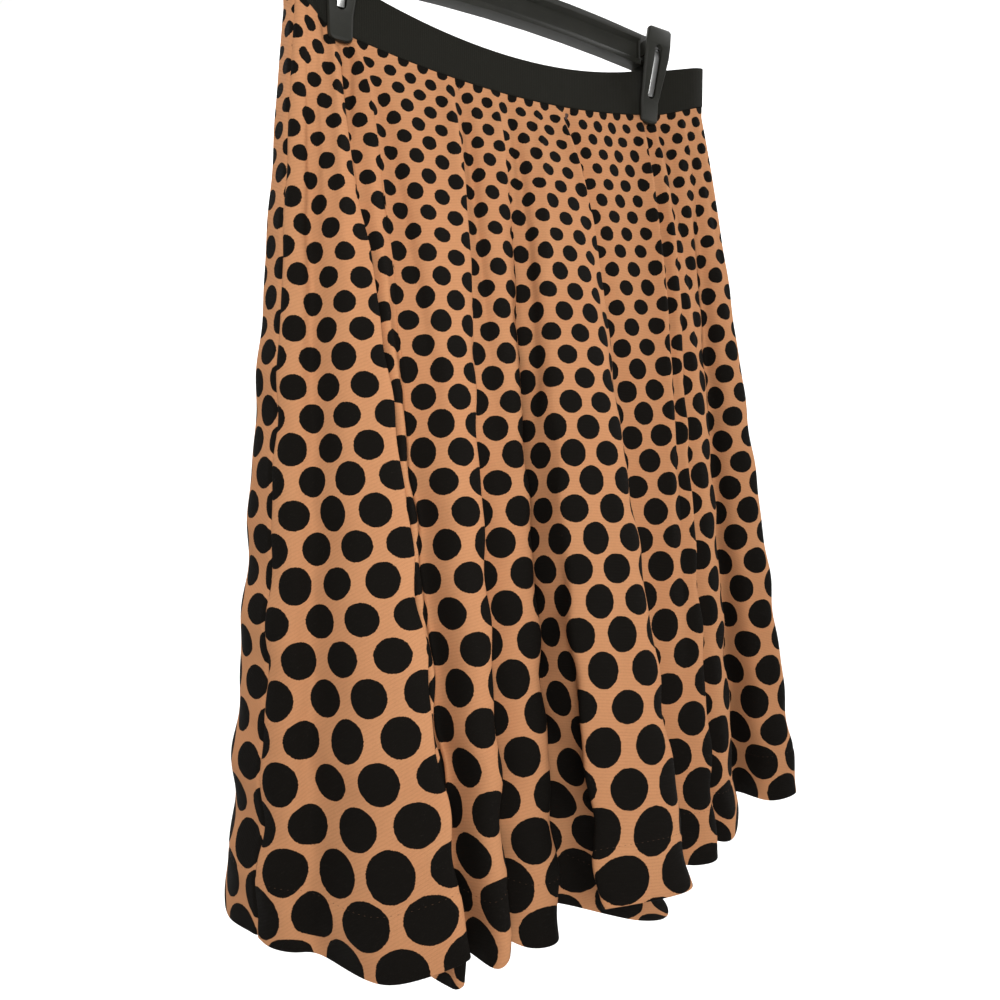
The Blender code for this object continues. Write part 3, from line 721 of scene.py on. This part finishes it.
def dotted_knit(name, phase_u, phase_v):
    finish = Finish(name, Specular_IOR_Level=0.05)
    across, down, wale, course, in_wale, leaned = knit_cells(finish)
    across = across + ((wale + 0.5) * WALE - across) * STEP_SHARE
    down = down + ((course + 0.5) * COURSE - down) * STEP_SHARE
    radius = (across * across + down * down).call("SQRT")
    u = across.call("ARCTAN2", down) * (CUT_RADIUS / DOT_PITCH_TOP)
    v = (radius / CUT_RADIUS).call("LOGARITHM", math.e) * DOT_ROWS_PER_LOG
    size = DOT_RADIUS
    for low, high, more in DOT_STEPS:
        span = {"From Min": CUT_RADIUS + low * FALL, "From Max": CUT_RADIUS + high * FALL}
        step = {"Value": radius, **span, "To Max": more}
        size = size + finish.node("MapRange", {"interpolation_type": "SMOOTHSTEP"}, step)
    cell = finish.node("CombineXYZ", None, {0: wale, 1: course})
    fleck = finish.node("TexWhiteNoise", {"noise_dimensions": "2D"}, {"Vector": cell})
    wander = {"Vector": cell, "Scale": 0.23, "Detail": 1.0}
    fine_noise = finish.node("TexNoise", {"noise_dimensions": "2D"}, wander)
    black = dot_mask(finish, u, v, size + (fine_noise - 0.5) * 0.02, phase_u, phase_v)
    place = finish.node("TexCoord").out("Object")
    cloudy = finish.node("TexNoise", None, {"Vector": place, "Scale": 14.0, "Detail": 3.0})
    camel = finish.mix(cloudy, CAMEL, CAMEL_WARM)
    relief = knit_relief(in_wale, leaned)
    # Painted shade: the stitches' raised legs and loops are painted lighter and the hollows between
    # them darker. The white-noise fleck adds a random tone to each stitch.
    stitch_shade_and_fleck = 0.87 + relief * 0.13 + (fleck - 0.5) * 0.05
    stitch_shade_and_fleck_rgb = finish.node("CombineXYZ", None, {0: stitch_shade_and_fleck, 1: stitch_shade_and_fleck, 2: stitch_shade_and_fleck})
    camel = finish.node("VectorMath", {"operation": "MULTIPLY"}, {0: camel, 1: stitch_shade_and_fleck_rgb})
    colour = finish.mix(black, camel, DOT_BLACK)
    bump = finish.bump(relief, 0.45, 0.0004)
    finish.feed(Base_Color=colour, Roughness=0.92 - relief * 0.08, Normal=bump)
    return finish.material


def wrong_side():
    """The back of the jacquard, where both yarns float: a dark mauve with camel specks."""
    sheen = {"Sheen_Weight": 0.10, "Sheen_Roughness": 0.5}
    finish = Finish("knit_wrong_side", Roughness=0.92, Specular_IOR_Level=0.2, **sheen)
    across, down, wale, course, in_wale, leaned = knit_cells(finish)
    cell = finish.node("CombineXYZ", None, {0: wale, 1: course})
    fleck = finish.node("TexWhiteNoise", {"noise_dimensions": "2D"}, {"Vector": cell})
    relief = knit_relief(in_wale, leaned)
    # Painted shade: the relief mixes the loops' raised parts towards camel and leaves the hollows
    # between them dark. The fleck gives random camel specks.
    colour = finish.mix(fleck * 0.55 + relief * 0.25, (0.020, 0.011, 0.012), (0.16, 0.075, 0.048))
    finish.feed(Base_Color=colour, Normal=finish.bump(relief, 0.5, 0.0005))
    return finish.material


inside = wrong_side()
for name, front, creases, phase in (
    ("skirt_front", True, FRONT_CREASES, (0.0, 0.0)),
    ("skirt_back", False, BACK_CREASES, (0.37, 0.9)),
):
    made = panel(name + "_knit", front, creases)
    made.data.materials.append(dotted_knit(name + "_knit", *phase))
    made.data.materials.append(inside)
    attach(made, "root")
    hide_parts(name)

# ---- Hem stitches --------------------------------------------------------------------------
# The turned-up hem is caught by a row of small blind stitches 40 mm up, in thread of the camel's
# colour, which only prick the outside.

STITCH_PITCH = 0.0042
STITCH_LENGTH = 0.0011
STITCH_START = 0.012
STITCH_CROWN = 1.4
STITCH_TURN = 0.16
THREAD = 0.00024


def stitch_tree():
    """Geometry Nodes: a small arch of thread at every pitch of a seam line, on the cloth."""
    tree = bpy.data.node_groups.new("blind_stitches", "GeometryNodeTree")
    for name, kind in (
        ("Seam", "Geometry"), ("Pitch", "Float"), ("Length", "Float"), ("Thread", "Float"),
        ("Seed", "Int"), ("Material", "Material"),
    ):
        tree.interface.new_socket(name, in_out="INPUT", socket_type="NodeSocket" + kind)
    tree.interface.new_socket("Stitches", in_out="OUTPUT", socket_type="NodeSocketGeometry")

    def node(kind, settings=None, **inputs):
        """A new node's first output. Inputs go by name, or by place as _0 and so on."""
        made = tree.nodes.new(kind)
        for key, value in (settings or {}).items():
            setattr(made, key, value)
        for key, value in inputs.items():
            if key[0] == "_":
                socket = made.inputs[int(key[1:])]
            else:
                label = key.replace("_", " ")
                socket = next(s for s in made.inputs if s.enabled and s.name == label)
            if isinstance(value, bpy.types.NodeSocket):
                tree.links.new(value, socket)
            else:
                socket.default_value = value
        return next(s for s in made.outputs if s.enabled)

    def times(socket, factor):
        return node("ShaderNodeMath", {"operation": "MULTIPLY"}, _0=socket, _1=factor)

    given = tree.nodes.new("NodeGroupInput").outputs
    half = times(given["Length"], 0.5)
    start, end = (
        node("ShaderNodeCombineXYZ", X=times(half, way), Z=-THREAD) for way in (-1.0, 1.0)
    )
    crown = node("ShaderNodeCombineXYZ", Z=STITCH_CROWN * THREAD)
    arch = node(
        "GeometryNodeCurveQuadraticBezier", Resolution=4, Start=start, Middle=crown, End=end
    )
    radius = times(given["Thread"], 0.5)
    ring = node("GeometryNodeCurvePrimitiveCircle", Resolution=5, Radius=radius)
    stitch = node("GeometryNodeCurveToMesh", Curve=arch, Profile_Curve=ring, Fill_Caps=True)
    seam = node("GeometryNodeMeshToCurve", Mesh=given["Seam"])
    spaced = node(
        "GeometryNodeResampleCurve", {"mode": "LENGTH"}, Curve=seam, Length=given["Pitch"]
    )
    outward = node("GeometryNodeInputNamedAttribute", {"data_type": "FLOAT_VECTOR"}, Name="outward")
    upright = node("FunctionNodeAlignRotationToVector", {"axis": "Z"}, Vector=outward)
    along = node(
        "FunctionNodeAlignRotationToVector", {"axis": "X", "pivot_axis": "Z"},
        Rotation=upright, Vector=node("GeometryNodeInputTangent"),
    )
    lean = node(
        "FunctionNodeRandomValue", {"data_type": "FLOAT"},
        Min=-STITCH_TURN, Max=STITCH_TURN, Seed=given["Seed"],
    )
    spin = node("ShaderNodeCombineXYZ", Z=lean)
    turned = node(
        "FunctionNodeRotateRotation", {"rotation_space": "LOCAL"}, Rotation=along, _1=spin
    )
    row = node("GeometryNodeInstanceOnPoints", Points=spaced, Instance=stitch, Rotation=turned)
    real = node("GeometryNodeRealizeInstances", Geometry=row)
    finished = node("GeometryNodeSetMaterial", Geometry=real, Material=given["Material"])
    tree.links.new(finished, tree.nodes.new("NodeGroupOutput").inputs["Stitches"])
    return tree


def plain_mesh(made):
    """The object's modifiers worked into a mesh of its own."""
    graph = bpy.context.evaluated_depsgraph_get()
    mesh = bpy.data.meshes.new_from_object(made.evaluated_get(graph))
    made.modifiers.clear()
    made.data = mesh
    mesh.shade_smooth()
    return made


def camel_thread():
    finish = Finish("camel_thread", Roughness=0.7, Specular_IOR_Level=0.15)
    place = finish.node("TexCoord").out("Object")
    fibre = finish.node("TexNoise", None, {"Vector": place, "Scale": 1400.0, "Detail": 2.0})
    colour = finish.mix(fibre, (0.060, 0.032, 0.019), (0.110, 0.058, 0.032))
    finish.feed(Base_Color=colour, Normal=finish.bump(fibre, 0.3, 0.0001))
    return finish.material


def hem_row(name, front, creases, tree, thread, seed):
    """The stitches along one panel's hem, lying on its outside."""
    share = 1 - HEM_DEPTH / FALL
    middle, outward, distance, length = panel_row(share, front)
    lift = crease_height(middle, distance, length, share, creases)
    row = shift(middle, outward, lift + PANEL_WALL / 2 - HEM_PULL + 0.5 * THREAD)
    kept = (distance > STITCH_START) & (distance < length - STITCH_START)
    row, facing = row[kept], outward[kept]
    seam = bpy.data.meshes.new(name)
    seam.from_pydata(row.tolist(), [(i, i + 1) for i in range(len(row) - 1)], [])
    towards = seam.attributes.new("outward", "FLOAT_VECTOR", "POINT")
    level_facing = np.c_[facing, np.zeros(len(facing))].astype(np.float32)
    towards.data.foreach_set("vector", level_facing.ravel())
    made = placed(name, seam)
    sewing = made.modifiers.new("sewing", "NODES")
    sewing.node_group = tree
    values = {"Pitch": STITCH_PITCH, "Length": STITCH_LENGTH, "Thread": THREAD}
    values.update(Seed=seed, Material=thread)
    for item in tree.interface.items_tree:
        if item.in_out == "INPUT" and item.name in values:
            sewing[item.identifier] = values[item.name]
    return plain_mesh(made)


stitches, thread = stitch_tree(), camel_thread()
for name, front, creases, seed in (
    ("hem_stitches_front", True, FRONT_CREASES, 3),
    ("hem_stitches_back", False, BACK_CREASES, 8),
):
    made = hem_row(name, front, creases, stitches, thread, seed)
    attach(made, "root")

# ---- Waistband -----------------------------------------------------------------------------
# A flat black rib-knit elastic band, two layers pinched together by the clips. It is linked to
# the top of the panels, and joined to itself above the side seams.

BAND_WALL = 0.0022
BAND_EDGE = 0.9
BAND_GROOVE = 0.0006
BAND_ROWS = np.linspace(0.06, 0.94, 12)
RIM_POINTS = 7
RIB = 0.0016
RIB_COURSE = 0.0011


def band_half(name, front):
    """A closed wall: over the top edge, down the outside, round the lower edge and up inside."""
    middle, outward, distance, length = panel_row(0.0, front)
    top, bottom = band_top(middle[:, 0]), band_bottom(middle[:, 0])
    half = BAND_WALL / 2
    rim = [
        (half * BAND_EDGE * (1 - math.sin(angle)), half * math.cos(angle))
        for angle in np.linspace(0, math.pi, RIM_POINTS)
    ]
    crest = RIM_POINTS // 2
    rows, flat = [], []
    edge = np.minimum(distance, length - distance)
    groove = BAND_GROOVE * np.exp(-((edge / SEAM_GROOVE_WIDTH) ** 2))
    outline = [(0.0, drop, depth) for drop, depth in rim[crest::-1]]
    outline += [(share, 0.0, half) for share in BAND_ROWS]
    outline += [(1.0, -drop, depth) for drop, depth in rim]
    outline += [(share, 0.0, -half) for share in BAND_ROWS[::-1]]
    outline += [(0.0, drop, depth) for drop, depth in rim[:crest:-1]]
    for share, drop, depth in outline:
        row = shift(middle, outward, np.full_like(distance, depth) - groove)
        row[:, 2] = top + share * (bottom - top) - drop
        rows.append(row)
        flat.append(np.stack([distance, row[:, 2]], 1))
    height, width = len(rows), len(distance)
    first = [row * width for row in range(height)]
    last = [row * width + width - 1 for row in range(height)][::-1]
    return closed_wall(name, rows, flat, [first, last])


def black_rib():
    finish = Finish("black_rib", Roughness=0.9, Specular_IOR_Level=0.08)
    split = finish.node("SeparateXYZ", None, {0: finish.node("UVMap", {"uv_map": "cloth"})})
    rib = (split.out("X") * (2 * math.pi / RIB)).call("SINE") * 0.5 + 0.5
    course = (split.out("Y") * (2 * math.pi / RIB_COURSE)).call("SINE") * 0.5 + 0.5
    relief = rib * 0.7 + course * 0.3
    # Painted shade: the ribs' crests and courses are painted lighter and their grooves darker. The
    # same relief raises the bump.
    colour = finish.mix(relief, (0.0125, 0.0120, 0.0095), (0.0175, 0.0170, 0.0135))
    finish.feed(Base_Color=colour, Normal=finish.bump(relief, 0.30, 0.0003))
    return finish.material


rib = black_rib()
for name, front in (("waistband_front", True), ("waistband_back", False)):
    made = band_half(name + "_rib", front)
    made.data.materials.append(rib)
    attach(made, "root")
    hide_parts(name)

# ---- Hanger --------------------------------------------------------------------------------
# One injection moulding in black plastic: a hook, an I-section bar, and at each end a block with
# a fixed jaw behind the waistband.


CLOSE = 2e-6
TOUCHING = 1e-7
NEARLY_FLAT = math.radians(1.5)
ROUNDED_FROM = math.radians(40)
SHARP_FROM = math.radians(42)
ROUND_STEPS = 6


def round_lower_end(shape, radius):
    """Round the two lower corners of a narrow upright piece, as seen from its front."""
    low = min(v.co.z for v in shape.verts)
    for step in range(1, ROUND_STEPS + 1):
        height = low + radius * (1 - math.cos(step / ROUND_STEPS * math.pi / 2))
        every = shape.verts[:] + shape.edges[:] + shape.faces[:]
        plane = {"plane_co": (0, 0, height), "plane_no": (0, 0, 1)}
        bmesh.ops.bisect_plane(shape, geom=every, dist=TOUCHING, **plane)
    ends = [v for v in shape.verts if v.co.z < low + radius - TOUCHING]
    left, right = min(v.co.x for v in ends), max(v.co.x for v in ends)
    middle, half = (left + right) / 2, (right - left) / 2
    for v in ends:
        away = (low + radius - v.co.z) / radius
        narrow = (half - radius + radius * math.sqrt(max(0, 1 - away**2))) / half
        v.co.x = middle + (v.co.x - middle) * narrow


def softened_copy(node, name, bevel, segments=3, end_radius=0):
    """A copy of a moulded CAD solid with its sharp edges rounded, in place of that solid."""
    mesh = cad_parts[node].data.copy()
    mesh.name = name
    shape = bmesh.new()
    shape.from_mesh(mesh)
    bmesh.ops.remove_doubles(shape, verts=shape.verts, dist=CLOSE)
    bmesh.ops.dissolve_limit(shape, angle_limit=NEARLY_FLAT, verts=shape.verts, edges=shape.edges)
    if end_radius:
        round_lower_end(shape, end_radius)
    shape.to_mesh(mesh)
    shape.free()
    mesh.materials.clear()
    made = placed(name, mesh)
    rounding = made.modifiers.new("rounding", "BEVEL")
    rounding.width, rounding.segments = bevel, segments
    rounding.limit_method, rounding.angle_limit = "ANGLE", ROUNDED_FROM
    rounding.harden_normals = False
    plain_mesh(made)
    made.data.set_sharp_from_angle(angle=SHARP_FROM)
    return made


def moulded_plastic():
    finish = Finish("moulded_plastic", Specular_IOR_Level=0.25)
    place = finish.node("TexCoord").out("Object")
    clouds = {"Vector": place, "Scale": 60.0, "Detail": 4.0, "Roughness": 0.6}
    cloudy = finish.node("TexNoise", None, clouds)
    grain = finish.node("TexNoise", None, {"Vector": place, "Scale": 2600.0, "Detail": 2.0})
    colour = finish.mix(cloudy, (0.013, 0.013, 0.0100), (0.021, 0.0208, 0.0160))
    bump = finish.bump(grain, 0.10, 0.0002)
    finish.feed(Base_Color=colour, Roughness=0.44 + cloudy * 0.16, Normal=bump)
    return finish.material


plastic = moulded_plastic()
hanger = softened_copy("hanger_frame", "hanger_moulding", 0.0005)
hanger.data.materials.append(plastic)
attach(hanger, "root")
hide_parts("hanger_frame")

# ---- Clips ---------------------------------------------------------------------------------
# At each end a moulded front jaw rocks on the block, and a strip of spring steel in its slot
# presses its pad on the waistband.

JAW_END_RADIUS = 0.0038

for side in ("left", "right"):
    node = "clip_jaw_" + side
    jaw = softened_copy(node, node + "_moulding", 0.0009, 4, JAW_END_RADIUS)
    jaw.data.materials.append(plastic)
    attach(jaw, "root")
    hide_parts(node)


def spring_steel():
    finish = Finish("spring_steel", Metallic=1.0)
    place = finish.node("TexCoord").out("Object")
    drawn = finish.node("Mapping", None, {"Vector": place, "Scale": (2200.0, 2200.0, 60.0)})
    streaks = finish.node("TexNoise", None, {"Vector": drawn, "Scale": 1.0, "Detail": 3.0})
    colour = finish.mix(streaks, (0.56, 0.56, 0.55), (0.72, 0.72, 0.70))
    bump = finish.bump(streaks, 0.12, 0.0001)
    finish.feed(Base_Color=colour, Roughness=0.22 + streaks * 0.18, Normal=bump)
    return finish.material


steel = spring_steel()
for side in ("left", "right"):
    node = "clip_spring_" + side
    strip = softened_copy(node, node + "_strip", 0.00025, 2)
    strip.data.materials.append(steel)
    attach(strip, "root")
    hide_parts(node)

# ---- Cut of the cloth ----------------------------------------------------------------------
# Nothing is built here: flat_cut above lays each panel out as a ring sector of knit, 0.37 m at
# the waist and 1.05 m at the hem, with its turned-up hem, for its cloth UVs. The waistband
# halves are strips of elastic.

# ---- Stage ---------------------------------------------------------------------------------
# A pale sweep of paper, well below the hem and curved up behind it. One soft light stands on
# each side of the camera, and two more light the paper.


SWEEP_FLOOR = -1.55
SWEEP_BEND = 1.2
SWEEP_STEPS = 9
SWEEP_NEAR, SWEEP_FAR, SWEEP_TOP, SWEEP_HALF_WIDTH = -4.0, 1.6, 3.0, 5.0
# The camera looks this way along the floor, and down by a small slope.
VIEW = Vector((0.4725, 0.881))
VIEW_SLOPE = 41 / 751


def stage():
    points, faces = [], []
    profile = [(SWEEP_NEAR, SWEEP_FLOOR), (SWEEP_FAR, SWEEP_FLOOR)]
    for angle in np.linspace(0, math.pi / 2, SWEEP_STEPS + 1)[1:]:
        forward = SWEEP_FAR + SWEEP_BEND * math.sin(angle)
        profile.append((forward, SWEEP_FLOOR + SWEEP_BEND * (1 - math.cos(angle))))
    profile.append((SWEEP_FAR + SWEEP_BEND, SWEEP_TOP))
    along = VIEW.normalized()
    across = Vector((along.y, -along.x))
    for forward, height in profile:
        for side in (-SWEEP_HALF_WIDTH, SWEEP_HALF_WIDTH):
            points.append((*(along * forward + across * side), height))
    for i in range(len(profile) - 1):
        faces.append((2 * i, 2 * i + 1, 2 * i + 3, 2 * i + 2))
    mesh = bpy.data.meshes.new("paper_sweep")
    mesh.from_pydata(points, [], faces)
    mesh.shade_smooth()
    made = placed("paper_sweep", mesh)
    paper = Finish("paper", Roughness=0.9, Base_Color=(0.93, 0.93, 0.93, 1))
    mesh.materials.append(paper.material)


stage()


def area_light(name, place, aim, size, power):
    data = bpy.data.lights.new(name, "AREA")
    data.shape, data.size, data.size_y, data.energy = "RECTANGLE", *size, power
    made = placed(name, data)
    made.location = place
    made.rotation_euler = (Vector(aim) - Vector(place)).to_track_quat("-Z", "Y").to_euler()


area_light("key", (-0.35, -0.85, -0.25), (0.0, 0.0, -0.42), (0.40, 0.40), 6.8)
area_light("fill", (0.16, -1.06, 0.02), (0.0, 0.0, -0.42), (0.40, 0.40), 1.2)
area_light("backdrop_left", (-0.6, 1.0, 1.4), (0.9, 2.4, -0.6), (1.6, 1.6), 94)
area_light("backdrop_right", (2.2, -0.3, 1.4), (1.6, 2.2, -0.6), (1.6, 1.6), 80)

world = bpy.data.worlds.new("studio")
world.use_nodes = True
world.node_tree.nodes["Background"].inputs["Color"].default_value = (1, 1, 1, 1)
world.node_tree.nodes["Background"].inputs["Strength"].default_value = 0.17
bpy.context.scene.world = world
bpy.context.scene.view_settings.view_transform = "Standard"

camera = placed("camera", bpy.data.cameras.new("camera"))
camera.data.lens, camera.data.sensor_width = 27.04, 36
camera.data.clip_start = 0.01
camera.location = (-0.283, -0.515, -0.420)
pitch = math.atan(VIEW_SLOPE)
facing = Vector((*(VIEW * math.cos(pitch)), -math.sin(pitch)))
camera.rotation_euler = facing.to_track_quat("-Z", "Y").to_euler()
bpy.context.scene.camera = camera
